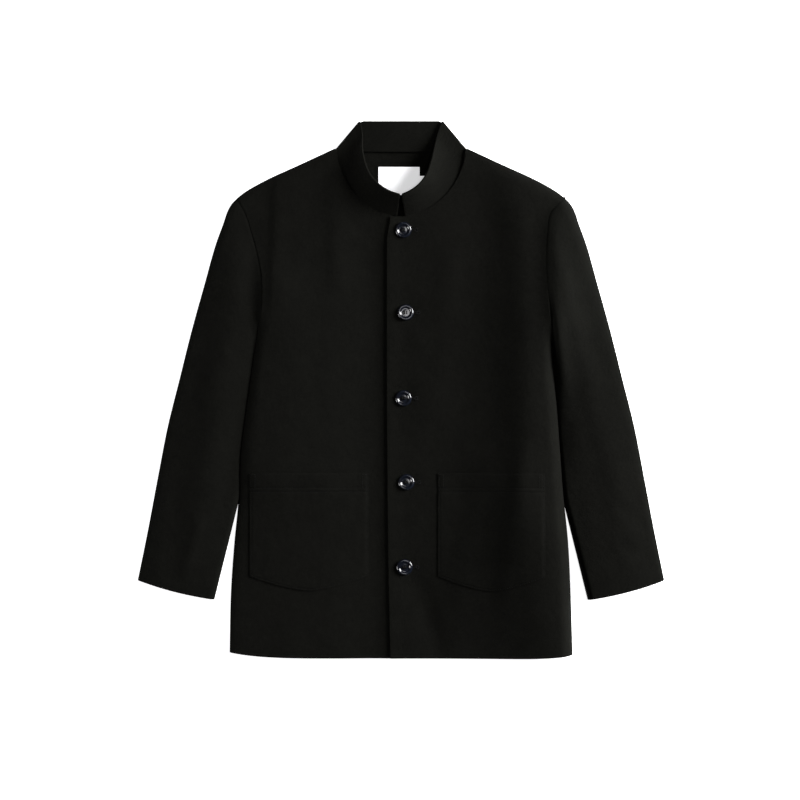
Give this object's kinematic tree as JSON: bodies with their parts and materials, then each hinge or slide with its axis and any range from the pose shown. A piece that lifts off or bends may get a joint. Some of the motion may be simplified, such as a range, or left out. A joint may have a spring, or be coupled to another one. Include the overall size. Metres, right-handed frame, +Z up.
{
  "type": "stand collar jacket",
  "caption": "Long-sleeved black wool jacket with a stand collar, patch pockets and a buttoned front, closed and laid flat on its back.",
  "frame": {"origin": "centre of the jacket's outline, on the surface that it lies on", "axes": "+X towards the wearer's left side, +Y from the hem to the collar, +Z up off the surface"},
  "size_m": [0.788, 0.8065, 0.0354],
  "materials": {
    "cloth": "matte black wool, fine twill with a short nap",
    "button": "polished black resin",
    "label": "plain white woven tape"
  },
  "bodies": {
    "root": {"back": "cloth", "front_left": "cloth", "front_right": "cloth", "sleeve_left_top": "cloth", "sleeve_left_under": "cloth", "sleeve_right_top": "cloth", "sleeve_right_under": "cloth", "collar": "cloth", "pocket_left": "cloth", "pocket_right": "cloth", "button_1": "button", "button_2": "button", "button_3": "button", "button_4": "button", "button_5": "button", "neck_label": "label", "size_tab": "label"}
  },
  "joints": []
}
